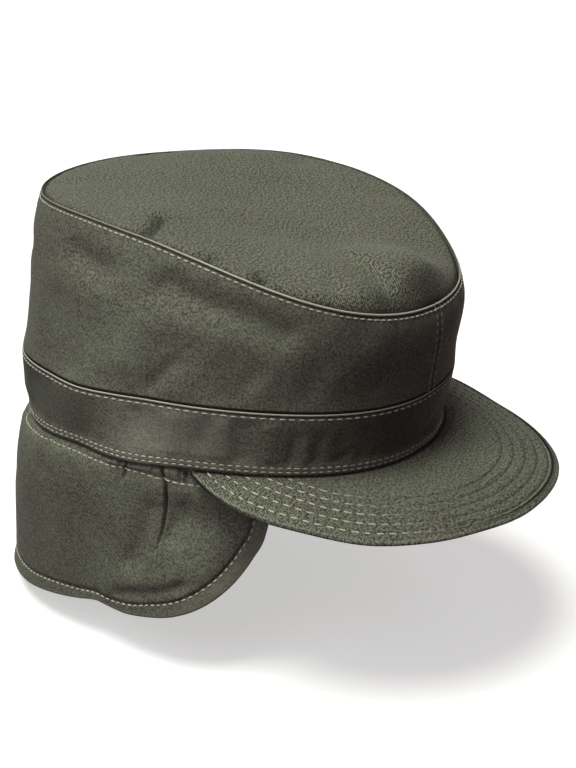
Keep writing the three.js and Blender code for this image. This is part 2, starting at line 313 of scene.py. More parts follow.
def weld(mesh):
    """Joins the points that meet in one place, such as the middle of the top panel."""
    worked = bmesh.new()
    worked.from_mesh(mesh)
    bmesh.ops.remove_doubles(worked, verts=worked.verts, dist=1e-6)
    worked.to_mesh(mesh)
    worked.free()


# %% [markdown]
# ## The band
# The band is a strip of doubled cloth round the head. Its upper edge is folded under and stitched down
# over the crown, which leaves a thin ridge, pale from wear and a painted highlight, with a stitched channel
# below it. Two close rows of stitches hold its lower edge, and between the rows the cloth puckers, because
# it was eased on.
# %% The band's surface
BAND_CLOTH = 1.6
UPPER_ROW = 2.5  # from the band's upper edge down to its stitches
LOWER_ROWS = (1.5, 3.5)  # from its lower edge up
TOP_LINES = ((0.1, 0.5, 0.35), (-0.4, UPPER_ROW - 0.8, 0.6))  # a ridge and the stitched channel below it
LOWER_LINES = [(-0.24, row, 0.5) for row in LOWER_ROWS]
EDGE_SHARE = 0.38  # what is left of the cloth's thickness at the upper edge

BAND_FOLDS = folds([
    (-127, 3, -125, 25, 1.6, 13), (-97, 3, -96.5, 25, 0.7, 3.4), (-86, 5, -85, 24, 0.5, 6),
    (-84, 14, -85, 24, 0.6, 2.4), (-79, 10, -81, 26, 0.5, 3), (-74, 6, -75, 22, -0.5, 5),
    (-67, 14, -66, 26, 0.9, 4), (-62, 8, -63, 24, -0.8, 5), (-57, 6, -58, 24, 1.2, 4.5),
    (-50, 5, -51, 20, -0.8, 4), (-44.5, 4, -44, 16, 0.9, 2.6), (-41, 4, -41, 14, -0.5, 2.6),
    (-38, 4, -37, 17, 0.8, 2.8), (-31, 5, -32, 14, 0.7, 3), (-24, 5, -23, 18, 0.5, 4),
    (-33, 4.5, -29, 9, 0.8, 1.8), (-22, 4.5, -20, 7, 0.8, 1.8), (-9, 5, -10, 20, 0.4, 6),
    (14, 5, 13, 20, 0.5, 6), (36, 5, 37, 20, 0.7, 4), (52, 6, 54, 22, 0.8, 5), (68, 6, 66, 22, 0.6, 6),
    (88, 8, 90, 24, 0.7, 6), (112, 6, 111, 22, 0.6, 7), (140, 6, 142, 24, 0.7, 7),
    (172, 6, 171, 22, 0.6, 7), (-146, 6, -145, 24, 0.7, 7), (-5, 4.5, 12, 14, 0.7, 2.6),
])
# Painted light and shade on the band, paler where it is lit and darker where it is in shade: the middle
# angle, the width and the mark of each patch.
PAINTED_BAND_LIGHT = ((-128, 19, -0.55), (-100, 4.5, -0.2), (-82, 10, 0.15), (-64, 9, 0.09), (-12, 22, -0.55))


def band_relief(angle, up):
    """How far the band stands out over its plain oval at a height over its lower edge."""
    along = arc(signed(angle))
    below_top = band_height(angle) - up
    open_part = ramp(up, 3.5, 8) * ramp(below_top, 2.5, 7)
    relief = bells(below_top, *TOP_LINES) + bells(up, *LOWER_LINES) + 0.3 * (1 - ramp(up, 4.3, 5.4))
    eased = bell(up, 6, 3.2) + 0.8 * bell(below_top, 5.5, 3)
    return relief - open_part * pressed(along, up, BAND_FOLDS) + eased * 0.35 * ripple(along, 11, 1.3)


def on_band(angle, up, out):
    """Points at a height over the band's lower edge, pushed out from its plain oval."""
    hem = hem_height(angle)
    offset = out - drawn_in(angle, hem + up)
    low = oval_point(HEM_OVAL, angle, offset, hem)
    high = oval_point(BAND_TOP_OVAL, angle, offset, hem + band_height(angle))
    return low + (high - low) * (up / band_height(angle))[..., None]


def band_surface(angle, up, depth):
    top = band_height(angle)
    depth = depth * (1 - (1 - EDGE_SHARE) * ramp(up, top - 5, top - 1))
    return on_band(angle, up, band_relief(angle, up) * (depth < BAND_CLOTH / 2) - depth)


# %% Sew the band
def rows_between(low, high, count, crowd_low=0.0, crowd_high=0.0):
    """Shares from low to high, closer together towards the ends that are crowded."""
    even = np.linspace(0, 1, count)
    crowded = even - crowd_low * np.sin(np.pi * even) * (1 - even) / np.pi
    crowded = crowded + crowd_high * np.sin(np.pi * even) * even / np.pi
    return low + (high - low) * crowded


BAND_COLUMNS = 560
BAND_ROWS = 46
ALL_ROUND = np.arange(BAND_COLUMNS) * 360 / BAND_COLUMNS
margin = BAND_CLOTH / 3  # room for the rounded rims
angle = ALL_ROUND[None, :]
up = margin + rows_between(0, 1, BAND_ROWS, 0.9, 0.9)[:, None] * (band_height(angle) - 2 * margin)
closing = np.append(ALL_ROUND, 360)[None, :] + 0 * up[:, :1]
band_flat = np.stack([arc(closing), np.concatenate([up, up[:, :1]], 1)], -1)
below_top = band_height(angle) - up
lower_strip = ramp(up, 0.6, 1.4) * (1 - ramp(up, 3.9, 4.8))
# A pale line along the upper edge, rubbed wear and a painted highlight; painted shade in the channel under
# it and along the lower edge.
band_wear_and_light = bells(below_top, (1, 0.6, 0.3), (-0.8, 1.5, 0.4)) - 0.6 * bell(up, 0.2, 0.6)
# painted light on the strip of the lower rows
band_wear_and_light += 0.14 * lower_strip
open_part = ramp(up, 3.5, 8) * ramp(below_top, 2, 3)
# painted light and shade in patches on the band's open part
for middle, width, mark in PAINTED_BAND_LIGHT:
    band_wear_and_light += open_part * mark * bell(signed(angle), middle, width)
faces = [band_surface(angle, up, depth) for depth in (0, BAND_CLOTH)]
band = cloth_wall("band_cloth", *faces, band_flat, band_wear_and_light, ring=True)

# %% [markdown]
# ## The side wall of the crown
# Two halves of soft cloth rise from inside the band to the top seam and meet in a seam at the front and
# another at the nape. Nothing holds them up but the head, so they sag in long slanting valleys below the
# seam and break in short creases just over the band. Their upper edge is folded over the top panel's.
# %% The side wall's surface
CLOTH = 1.5
GAP = 0.3
FOLD_SHARE = 0.36  # what is left of the wall's thickness at its folded edge
TUCK = 8  # how far the wall reaches down inside the band, and the curtain up inside it
SHOULDER = 0.8  # height over the band in which the wall comes out to its full width
BEHIND_BAND = 0.95  # how far it lies behind the band's thin upper edge
WALL_BULGE = 2.2
TOP_ROW = 2.4  # from the top seam down to its stitches
SEAM_ROW = 1.7  # from the front and back seams out to the row on each side
EDGE_LINES = ((0.15, 0.4, 0.4), (-0.55, TOP_ROW - 0.9, 0.5))  # the folded edge and the channel below it
SEAM_LINES = ((-0.5, 0, 0.45), (-0.25, SEAM_ROW, 0.5))

WALL_FOLDS = folds([
    (-80, 78, -76, 76, -70, 73, -64, 70.5, -58, 67.5, -50, 62, 2.9, 6), (-78, 66, -66, 60, -1.4, 8),
    (-106, 84, -101, 81.5, -95, 80, 2.5, 6), (-110, 72, -98, 69, -1, 8),
    (-75.5, 48, -78, 43.5, -80.5, 38, -82, 33, 1, 3.4), (-84, 60, -88, 44, -1.2, 8),
    (-68, 50, -74, 35, -0.7, 6), (-56, 46, -60, 35, 0.7, 4.5), (-52, 46, -56, 35, -0.4, 6),
    (-112, 60, -106, 36, 1, 8), (-40, 46, -43, 34, 0.5, 5), (-166, 84, -138, 74, 1.8, 6),
    (-156, 64, -140, 60, 0.8, 9), (-22, 56, -34, 42, -0.5, 8), (-73, 55, -74, 53, 0.3, 1.2),
    (-77, 48, -79.5, 42, -81, 36, 0.35, 1.8), (-76, 76, -66, 70.5, 0.4, 2.5), (-62, 42, -64, 34, 0.3, 2.4),
    (-34, 40, -31, 34, 0.3, 3), (-20, 42, -23, 35, 0.3, 4), (-90, 38, -94, 33, 0.3, 3),
    (-118, 44, -114, 33, 0.5, 5), (-139, 42, -142, 33, 0.5, 5), (-30, 62, -18, 52, 0.5, 7),
    (-166, 80, -160, 60, 0.7, 7),
])  # the same on both sides of the head


def wall_height(angle, share):
    low = hem_height(angle) + band_height(angle) + GAP
    return low + share * (panel_height(angle, 1) - low)


def wall_relief(angle, share):
    """Creases, the turned edge, the stitched channels and the seams of the side wall."""
    height = wall_height(angle, share)
    low = wall_height(angle, 0)
    below_top = panel_height(angle, 1) - height
    fade = ramp(height, low, low + 7) * ramp(1 - share, 0, 0.06)
    relief = -fade * pressed(arc(-np.abs(signed(angle))), height, WALL_FOLDS)
    relief += bells(below_top, *EDGE_LINES)
    relief += bell(below_top, 6, 3.2) * 0.4 * (ripple(arc(signed(angle)), 13, 0.4) - 0.3)
    for seam in (0, 180):
        away = np.abs(arc(signed(angle - seam)))
        relief += 0.3 * (1 - ramp(away, 2.6, 4.2)) + bells(away, *SEAM_LINES)
    return relief


def wall_surface(angle, share, depth):
    height = wall_height(angle, share)
    low, top = (wall_height(angle, end) for end in (0, 1))
    tucked = BEHIND_BAND * (1 - ramp(height, low, low + SHOULDER))
    bulge = WALL_BULGE * np.sin(np.pi * np.clip(share, 0, 1) ** 1.7)
    depth = depth * (1 - (1 - FOLD_SHARE) * ramp(height, top - 4, top - 1))
    offset = bulge - tucked - depth + wall_relief(angle, share) - drawn_in(angle, height)
    near = oval_point(BAND_TOP_OVAL, angle, offset, height)
    far = oval_point(SEAM_OVAL, angle, offset, height)
    return near + (far - near) * share[..., None]


# %% Sew the two halves
WALL_COLUMNS = 300
WALL_ROWS = 84
WALL_END = 1 - 0.4 / 60  # the share at which the rounded upper rim starts
HAIR = 0.0005  # in degrees: the halves meet at the seams, and each stays on its own side


def side_wall(name, first_angle):
    angle = np.linspace(first_angle + HAIR, first_angle + 180 - HAIR, WALL_COLUMNS)[None, :]
    share = rows_between(0, WALL_END, WALL_ROWS, 0.8, 0.9)[:, None] + 0 * angle
    faces = [
        np.concatenate([on_band(angle, band_height(angle) - TUCK, -BAND_CLOTH - 2 * GAP - depth),
                        wall_surface(angle, share, depth)])
        for depth in (0, CLOTH)
    ]
    height = wall_height(angle, share)
    height = np.concatenate([height[:1] - TUCK, height])
    flat = np.stack([arc(angle) + 0 * height, height], -1)
    below_top = panel_height(angle, 1) - height
    frontal = 0.4 + 0.6 * ramp(-np.abs(signed(angle)), -98, -62)  # the pale edge line, wear and a painted highlight, is strongest towards the front
    # pale line along the folded edge, rubbed wear and a painted highlight; painted shade in the stitched
    # channel under it
    outer_wear_and_light = frontal * bell(below_top, 0.4, 0.32) - 0.8 * bell(below_top, 1.5, 0.4)
    # painted shade where the wall comes out from behind the band
    outer_wear_and_light -= 0.8 * (1 - ramp(height - wall_height(angle, 0), 0.2, 1.2))
    return cloth_wall(name, *faces, flat, outer_wear_and_light)


wall_left = side_wall("crown_side_left_cloth", 0)
wall_right = side_wall("crown_side_right_cloth", 180)

# %% [markdown]
# ## The top panel
# The top is one flat oval, sewn in along its edge and pushed up a little by the head. It sags into broad
# soft dents, and the seam pinches it where there was cloth to spare. It is built as rings of points from
# the seam to the middle, set just inside the side wall's folded edge, so that a narrow dark groove shows,
# darkened further with painted shade.
# %% The top panel's surface
TOP_DENTS = folds([
    (-76, -14.5, -68, -12.5, -58, -8.5, 2.8, 2.6), (-52, -2, -22, -22, -1.6, 13),
    (-34, -17, 2, -67, 2.2, 14), (-75, -40, -69, -42, 2, 2.6), (-70, -63.5, -62, -60.5, 2.8, 2.7),
    (-44, -84, -38, -78, 1, 4), (-76, -12.5, -70, -10.5, 0.8, 1.4), (40, -86, 34, -76, 1.2, 6),
    (66, -48, 58, -44, 1, 5), (70, 6, 60, 4, 1.2, 6), (30, 66, 24, 52, 1.2, 9), (-40, 62, -32, 48, 1, 8),
    (20, 10, 34, -24, 1, 14),
], along_cloth=False)  # places across and along the cap, seen from above
DIMPLES = [TOP_DENTS[0], *TOP_DENTS[3:5]]  # the sharp ones at the seam, which light hardly reaches
FRONT_ROLL = curve_through([
    (-60, 0), (-46, 1.4), (-34, 3.6), (-24, 4.4), (-15, 4.4), (-9, 9.5), (-4, 10), (5, 9.5),
    (12, 6), (20, 2.6), (30, 0.8), (44, 0),
])  # how far the top stands up beside the seam at the front, where it drops steeply to the seam
PANEL_REACH = 86  # mean distance from the seam to the middle
SET_IN = CLOTH / 2 + 0.12  # from the middle of the wall's folded edge to the panel's edge


def top_surface(angle, share, depth):
    edge = oval_point(SEAM_OVAL, angle, -SET_IN, 0)
    middle = np.array([0, SEAM_OVAL["middle"], 0])
    point = middle + (edge - middle) * share[..., None]
    inwards = (1 - share) * PANEL_REACH
    dents = ramp(inwards, 0, 1.8) * pressed(point[..., 0], point[..., 1], TOP_DENTS)
    dents += bells(inwards, (0.8, 0, 1.1), (-0.3, 4, 2.4))
    reach = 4.4 + 3 * ramp(signed(angle), -15, -8)
    roll = (2 * ramp(inwards, -reach, reach) - 1) * (1 - ramp(inwards, reach, reach + 45))
    dents -= FRONT_ROLL(signed(angle)) * roll
    pinches = bell(inwards, 3, 3) * 0.7 * ripple(arc(signed(angle)), 15, 2.2) ** 2
    point[..., 2] = panel_height(angle, share) - dents - pinches - GAP - depth
    return point


# %% Sew the top panel
TOP_COLUMNS = 400
TOP_ROWS = 64
angle = (np.arange(TOP_COLUMNS) * 360 / TOP_COLUMNS)[None, :]
share = (1 - rows_between(0, 1, TOP_ROWS, 0.97))[:, None] + 0 * angle
faces = [top_surface(angle, share, depth) for depth in (0, CLOTH)]
closing = np.concatenate([faces[0], faces[0][:, :1]], 1)
steps = np.linalg.norm(np.diff(closing, axis=0, append=closing[-1:]), axis=-1)
from_middle = np.cumsum(steps[::-1], axis=0)[::-1]  # along the cloth, so that steep parts keep their weave
top_flat = unit(closing[..., :2] - closing[-1:, :, :2]) * from_middle[..., None]
sunward = ramp(-faces[0][..., 1], 0, 60)  # the top has faded more towards the front
inwards = (1 - share) * PANEL_REACH
painted_front_shade = bell(signed(angle), -1, 7) * bell(inwards, 3, 5)  # painted shade on the steep cloth at the front
painted_front_shade += 0.9 * bell(signed(angle), -20, 5) * bell(inwards, 3, 4)
# painted shade in the groove at the seam and on the steep front; a slight paling towards the front
top_wear_and_light = 0.03 * sunward - 0.8 * bell(inwards, 0, 1) - 0.45 * painted_front_shade
# painted shade in the sharp dents at the seam
top_wear_and_light -= 0.2 * pressed(faces[0][..., 0], faces[0][..., 1], DIMPLES)
crown_top = cloth_wall("crown_top_cloth", *faces, top_flat, top_wear_and_light, ring=True, pole=True)

# %% [markdown]
# ## The visor
# A visor is a crescent of stiff board between two cloths, sewn on under the front of the band. Five rows
# of stitches run side by side with its edge and sink into the cloth, so the visor looks quilted. The
# rows keep their distance from the edge, not from the band, so each one runs out under the band near
# the tips. To get that, each point of the visor is asked how far it is from the edge, seen from above.
# %% The visor's surface
VISOR_SPREAD = 70
VISOR_CROWN = 1.6
VISOR_ROWS = (4.8, 9.7, 14.8, 19.9, 25)  # distances of the quilting rows from the edge
VISOR_BEAD = 2.2  # width of the rounded edge outside the board
VISOR_RIM_FADE = (1, 1, 1, 0.9)  # painted shade on the folded edge, all the way round to the underside
VISOR_SEAM = 4.6  # distance from the band of the seam that lifts the cloth at the front
DROOP = 10.6  # degrees below the level, at the front
TIP_DROOP = 25  # and at the tips
BOARD = 3  # thickness of the visor at the band
EDGE_BOARD = 1.8  # and at its edge
GROOVE = VISOR_BEAD + 0.7  # the channel beside the beaded edge, plainest from the front round to the left
reach_at = curve_through([(0, 55.7), (0.35**2, 47.3), (0.65**2, 30.5), (0.88**2, 12), (1, 0)])
HEM_LINE = oval_point(HEM_OVAL, np.linspace(-75, 75, 80), 0, 0)  # the front of the band's lower edge


def visor_ends(angle):
    """The visor's two borders in plan: at the band, and outside."""
    across = angle / VISOR_SPREAD
    root = oval_point(HEM_OVAL, angle, -BAND_CLOTH - drawn_in(angle, 0 * angle), 0)
    out = np.stack([np.sin(np.radians(angle)), -np.cos(np.radians(angle)), 0 * angle], -1)
    reach = np.maximum(0, reach_at(across**2))
    return root, oval_point(HEM_OVAL, angle, 0, 0) + out * reach[..., None]


def distance_to(points, line):
    """The distance in plan from each point to a line of points."""
    flat = points[..., :2].reshape(-1, 2)
    nearest = np.full(len(flat), FAR)
    for start, end in zip(line[:-1, :2], line[1:, :2]):
        run = end - start
        share = np.clip(((flat - start) @ run) / max(run @ run, 1e-9), 0, 1)
        nearest = np.minimum(nearest, np.linalg.norm(flat - start - share[:, None] * run, axis=1))
    return nearest.reshape(points.shape[:-1])


VISOR_EDGE = visor_ends(np.linspace(-VISOR_SPREAD, VISOR_SPREAD, 121))[1]


def seam_place(angle):
    """How far from the band the visor's seam runs."""
    return VISOR_SEAM * (0.42 + 0.4 * ramp(angle, -42, -18) + 0.18 * ramp(angle, -12, 6))


def visor_relief(point, angle):
    """Quilting channels, the beaded edge and the seam next to the band."""
    inside = distance_to(point, VISOR_EDGE)
    relief = -(0.08 + 0.4 * ramp(angle, -25, 25)) * bell(inside, GROOVE, 0.45)
    relief -= 0.5 * ramp(VISOR_BEAD - inside, 0, VISOR_BEAD)
    sunk = 0.36 + 0.2 * ramp(angle, -30, 0) - 0.3 * ramp(angle, 14, 36)
    relief -= sunk * bells(inside, *[(1, row, 0.7) for row in VISOR_ROWS])
    quilted = ramp(inside, 3, 5) * (1 - ramp(inside, 25, 29))
    relief += 0.14 * quilted * ripple(point[..., 0] * 0.9 + point[..., 1] * 0.6, 5, 0.2)
    over_seam = distance_to(point, HEM_LINE) - seam_place(angle)
    front = ramp(angle, -6, 4) * (1 - ramp(angle, 27, 37))
    relief += front * bells(over_seam, (0.8, 0, 0.6), (-0.4, -1.3, 0.7))
    relief -= 0.3 * ramp(angle, -52, -44) * (1 - front) * bell(over_seam, 0, 0.5)
    tip = ramp(-angle, 55, 62) * bell(inside, 4, 3.5)
    return relief + 0.9 * tip * (ripple(point[..., 1] + 0.4 * point[..., 0], 5, 0.9) - 0.5)


def visor_surface(angle, share, depth):
    across = angle / VISOR_SPREAD
    root, edge = visor_ends(angle)
    length = np.linalg.norm(edge - root, axis=-1)
    point = root + (edge - root) * share[..., None]
    droop = np.radians(DROOP + (TIP_DROOP - DROOP) * across**2)
    arch = VISOR_CROWN * np.sin(np.pi * share) * (1 - across**2)
    lift = 3 * ramp(angle, 42, 57)  # the tip at the wearer's left is bent up
    lift += bells(angle, (1.5, 8, 15), (1.4, -14, 8), (1.2, -46, 8), (-0.6, -34, 6))
    top = hem_height(angle) - GAP - share * (length * np.tan(droop) - lift) + arch
    board = BOARD + (EDGE_BOARD - BOARD) * share**4
    point[..., 2] = top - board if depth else top + visor_relief(point, angle)
    return point


# %% Sew the visor
VISOR_COLUMNS = 330
GRID_ROWS = 118  # from the edge to the band
angle = np.linspace(-VISOR_SPREAD, VISOR_SPREAD, VISOR_COLUMNS)[None, :]
share = (1 - rows_between(0.012, 1, GRID_ROWS, 0.35))[:, None] + 0 * angle
faces = [visor_surface(angle, share, depth) for depth in (0, 1)]
inside = distance_to(faces[0], VISOR_EDGE)
# A pale line at the very edge, rubbed wear and a painted highlight; painted shadow along the band's lower
# edge; the whole visor a little darker.
visor_wear_and_light = 0.35 * bell(inside, 0.9, 0.4) - 0.85 * bell(distance_to(faces[0], HEM_LINE), 0, 0.8) - 0.1
far_side = ramp(angle, 12, 34)
# painted shade in the groove beside the beaded edge and on the bead, with a painted highlight just inside
# the groove
groove_shade_and_light = 0.45 * bell(inside, GROOVE + 1, 0.35) - 1.2 * bell(inside, GROOVE, 0.5 + 0.4 * far_side)
groove_shade_and_light -= 0.3 * (1 - ramp(inside, GROOVE - 0.8, GROOVE))
visor_wear_and_light += groove_shade_and_light * ramp(angle, -28, 8)
# painted shade on the rim of the edge, wider on the far side
visor_wear_and_light -= 0.9 * (1 - ramp(inside, 0, 0.5 + 1.2 * far_side))
# painted shade in the quilting channels at the front
marked = ramp(angle, -30, 0) * (1 - far_side)
visor_wear_and_light -= 0.42 * marked * bells(inside, *[(1, row, 0.45) for row in VISOR_ROWS])
visor = cloth_wall("visor_cloth", *faces, faces[0][..., :2], visor_wear_and_light, rim_fade=VISOR_RIM_FADE)

# %% [markdown]
# ## The curtain
# One piece of doubled cloth hangs from temple to temple round the nape and covers the ears. It is cut
# longer than the band and gathered into it: short pleats lie in a casing just under the band, and one
# long pleat runs down over the ear. A cloth simulation could hang it, but its lobes are cut and pressed,
# so their outline is given here and the gathers are pressed in. A hem is turned up all along its edge.
# %% The curtain's surface
CURTAIN_CLOTH = 1.6
CURTAIN_START = 50
CURTAIN_DROP = 85  # mean depth of the curtain
CURTAIN_TABLE = (
    (50, -16.6, 3.6), (51.2, -24, 3.7), (54, -32.3, 3.8), (58, -42, 4), (62.5, -49.7, 4.3),
    (67, -55.5, 4.6), (73.5, -61.2, 5), (79, -64.5, 5.3), (86, -67.3, 5.8), (89.5, -67.5, 6.1),
    (93, -67.4, 6.5), (99, -70.2, 7.2), (107, -73.3, 8.3), (118, -76.9, 9.6), (132, -79.9, 9.8),
    (152, -83, 9.8), (180, -84.4, 9.8),
)  # angle from the front, height of the lower edge, outward flare
edge_at = curve_through([(angle, edge) for angle, edge, flare in CURTAIN_TABLE])
flare_at = curve_through([(angle, flare) for angle, edge, flare in CURTAIN_TABLE])
casing_at = curve_through([
    (50, 6.6), (70, 7.2), (77, 6.2), (83, 4.6), (90, 4.2), (99, 3.2), (118, 3.4), (180, 3.4),
])
hem_row_at = curve_through([
    (50, 5.6), (64, 5.8), (73, 5.4), (78, 5.1), (83, 4.4), (87, 4), (91, 3.3), (95, 3.4), (100, 4.2),
    (106, 5.1), (118, 5.8), (180, 6),
])
LOBE = {"middle": 70, "half_width": 13, "out": 5, "from_drop": 12, "to_drop": 52}  # each lobe bells out

GATHER_FOLDS = folds([
    (75, -2, 74.6, -30, 1.4, 3.2), (80, -18, 82, -33, 84, -43, 2.2, 4.4), (72, -16, 74.5, -28, 2, 4),
    (86, -58, 76, -52, 66, -41, 60, -30, -3.4, 12), (60, -18, 70, -20, 2, 8), (96, -30, 97, -56, 0.8, 9),
    (87, -58.5, 82, -55.5, 76, -51.5, 71, -46.5, 1.6, 2.8), (112, -3, 113, -16, 1.6, 4),
    (141, -3, 140, -30, 2.2, 6), (163, -3, 164, -14, 1.8, 5), (158, -58, 160, -84, 2.4, 11),
])
PLEAT_FOLDS = folds([
    (77.3, 1, 76.2, -6, 76, -12, 76.2, -18, 76.6, -24, 77.2, -30, 78, -35, 2.4, 0.6),
    (86.4, 1, 86.6, -4, 87.4, -9, 2.4, 0.6), (88.2, 1, 88.1, -6, 1.8, 0.6), (88.3, -7, 88, -22, 0.6, 1.1),
    (92, 1, 92.1, -4, 1.2, 0.55), (93, 1, 93.1, -4, 1.2, 0.55), (84.7, 1, 84.8, -2.5, 0.7, 0.6),
    (79.5, 1, 79.6, -3, 1, 0.6), (72.8, 1, 72.5, -5, 1.6, 0.8), (71.2, 1, 71, -6, 1.5, 0.8),
    (68, 1, 68, -5, 1.1, 0.8), (64, 1, 64, -5, 0.8, 1), (98, 1, 98.4, -2, 0.6, 0.8),
    (112, 1, 112.5, -8, 0.9, 1.1), (127, 1, 127, -4, 0.7, 1), (141, 1, 140.6, -20, 1, 1.3),
    (153, 1, 153, -4, 0.7, 1), (164, 1, 164, -8, 0.9, 1.1), (176, 1, 176, -5, 0.7, 1.1),
], fade=0.8)


def from_front(angle):
    """How far an angle between 0 and 360 is from the front, on either side."""
    return np.minimum(angle, 360 - angle)


def curtain_edge_line():
    """The curtain's free edge on the flat cloth, from the band at one temple round to the other."""
    steps = ((50, 60, 30), (60.5, 299.5, 240), (300, 310, 30))
    angle = np.concatenate([np.linspace(*step) for step in steps])
    line = np.stack([arc(angle), edge_at(from_front(angle))], -1)
    first, last = line[0].copy(), line[-1].copy()
    first[1] = last[1] = 2
    return np.array([first, *line, last])


CURTAIN_EDGE = curtain_edge_line()


def curtain_relief(angle, height, swell):
    turned = from_front(angle)
    along = arc(turned)
    drop = hem_height(angle) - height
    casing = casing_at(turned)
    below_casing = drop - casing
    relief = bells(below_casing, (-0.45, -0.6, 0.55), (0.5, -casing / 2, casing / 3))
    relief -= swell * pressed(along, height, GATHER_FOLDS)
    relief -= pressed(along, height, PLEAT_FOLDS) * ramp(drop, -0.5, 1.5)
    relief += 0.4 * bell(below_casing, 3.5, 3) * ripple(arc(angle), 9, 0.7)
    edge_away = distance_to(np.stack([arc(angle) + 0 * height, height], -1), CURTAIN_EDGE)
    above_row = edge_away - hem_row_at(turned)
    relief += 0.3 * (1 - ramp(above_row, -1, 0.3)) - 0.5 * bell(above_row, 0.7, 0.55)
    relief += (1 + 0.9 * (1 - ramp(turned, 72, 100))) * ramp(-above_row, 0, 6)
    eased = bell(above_row, 3.5, 3)
    return relief + eased * 0.35 * (ripple(arc(angle) + height, 12, 1.9) - 0.4)


def curtain_surface(angle, height, depth):
    turned = from_front(angle)
    hem = hem_height(angle)
    held = 0.6 + 4 * (1 - ramp(turned, VISOR_SPREAD, 73)) + 1.8 * ramp(turned, 130, 150)
    drop = np.maximum(0, hem - held - height)  # below the part that is held straight under the band
    soft = 6.5 + 5 * ramp(turned, 112, 150)
    swell = 0.62 * (1 - np.exp(-drop / soft)) + 0.38 * drop / CURTAIN_DROP
    lobe = LOBE["out"] * bell(turned, LOBE["middle"], LOBE["half_width"])
    lobe = lobe * ramp(drop, LOBE["from_drop"], LOBE["to_drop"])
    out = flare_at(turned) * swell + lobe + curtain_relief(angle, height, swell) - depth
    out -= (BAND_CLOTH + GAP) * (0.35 + 0.65 * bell(drop, 0, 1.1))
    out -= drawn_in(angle, hem) * bell(drop, 0, 2.6)
    return oval_point(HEM_OVAL, angle, out, height)


# %% Sew the curtain
FINE_STEPS = 2601
CURTAIN_COLUMNS = 530
CURTAIN_ROWS = 86
all_angles = np.linspace(CURTAIN_START, 360 - CURTAIN_START, FINE_STEPS)
crowding = 1 + bells(all_angles, (3.4, 360 - 80, 13), (1.2, 80, 13))  # finer at the pleats
places = np.concatenate([[0], np.cumsum(crowding[1:])])
angle = np.interp(np.linspace(0, places[-1], CURTAIN_COLUMNS), places, all_angles)[None, :]
hem = hem_height(angle)
turned = from_front(angle)
lowest = edge_at(turned) + CURTAIN_CLOTH / 2
height = lowest + rows_between(0, 1, CURTAIN_ROWS, 0.5, 0.65)[:, None] * (hem - 0.5 - lowest)
faces = [
    np.concatenate([curtain_surface(angle, height, depth),
                    on_band(angle, TUCK + 0 * angle, -BAND_CLOTH - GAP - depth)])
    for depth in (0, CURTAIN_CLOTH)
]
height = np.concatenate([height, hem + TUCK])
curtain_flat = np.stack([arc(angle) + 0 * height, height], -1)
from_edge = distance_to(curtain_flat, CURTAIN_EDGE)
above_row = from_edge - hem_row_at(turned)
drop = hem - height
pleats = pressed(arc(turned), height, PLEAT_FOLDS) * ramp(drop, -0.5, 1.5)
# painted light on the hem strip at the front, where the visor's shadow falls
painted_hem_light = (1 - ramp(above_row, -1, 0)) * (1 - ramp(turned, 60, 84))
# A pale line at the edge, rubbed wear and a painted highlight; painted shadow under the band.
curtain_wear_and_light = 0.3 * bell(from_edge, 0.8, 0.5) + 0.35 * painted_hem_light - 0.9 * bell(drop, 0.3, 0.9)
# painted shade in the groove above the hem row and in the pleats
curtain_wear_and_light -= 0.5 * bell(above_row, 0.9, 0.6) + 0.16 * pleats**2
ear_flap = cloth_wall("ear_flap_cloth", *faces, curtain_flat, curtain_wear_and_light)

# %% [markdown]
# ## Stitches
# A row of topstitching is one thread that dips through the cloth again and again, so what shows is a row
# of short rounded dashes. Copying one dash by hand along curved seams would take hours. Geometry Nodes
# do it: they walk along each seam's path in steps of one stitch, set a dash at each step, lay it along
# the seam and turn it away from the cloth, with a little unevenness from a fixed seed.
# %% One function that adds a node
def add(tree, kind, inputs=None, **settings):
    """Adds a node, sets its settings, and links or sets its inputs. A node given as an input stands for
    its first output."""
    node = tree.nodes.new(kind)
    for name, value in settings.items():
        setattr(node, name, value)
    for name, value in (inputs or {}).items():
        if isinstance(value, bpy.types.Node):
            value = value.outputs[0]
        if isinstance(value, bpy.types.NodeSocket):
            tree.links.new(value, node.inputs[name])
        else:
            node.inputs[name].default_value = value
    return node


# %% The tree that sews
SEWING_INPUTS = {"Seam": "Geometry", "Pitch": "Float", "Stitch length": "Float", "Thread width": "Float",
                 "Seed": "Int", "Thread": "Material"}
SWAY = ((-0.04, -0.05, -0.07), (0.04, 0.05, 0.07))  # least and most turn of a stitch, in radians
GROWTH = ((0.88, 0.88, 0.88), (1.08, 1.1, 1.1))  # least and most of its length, width and height


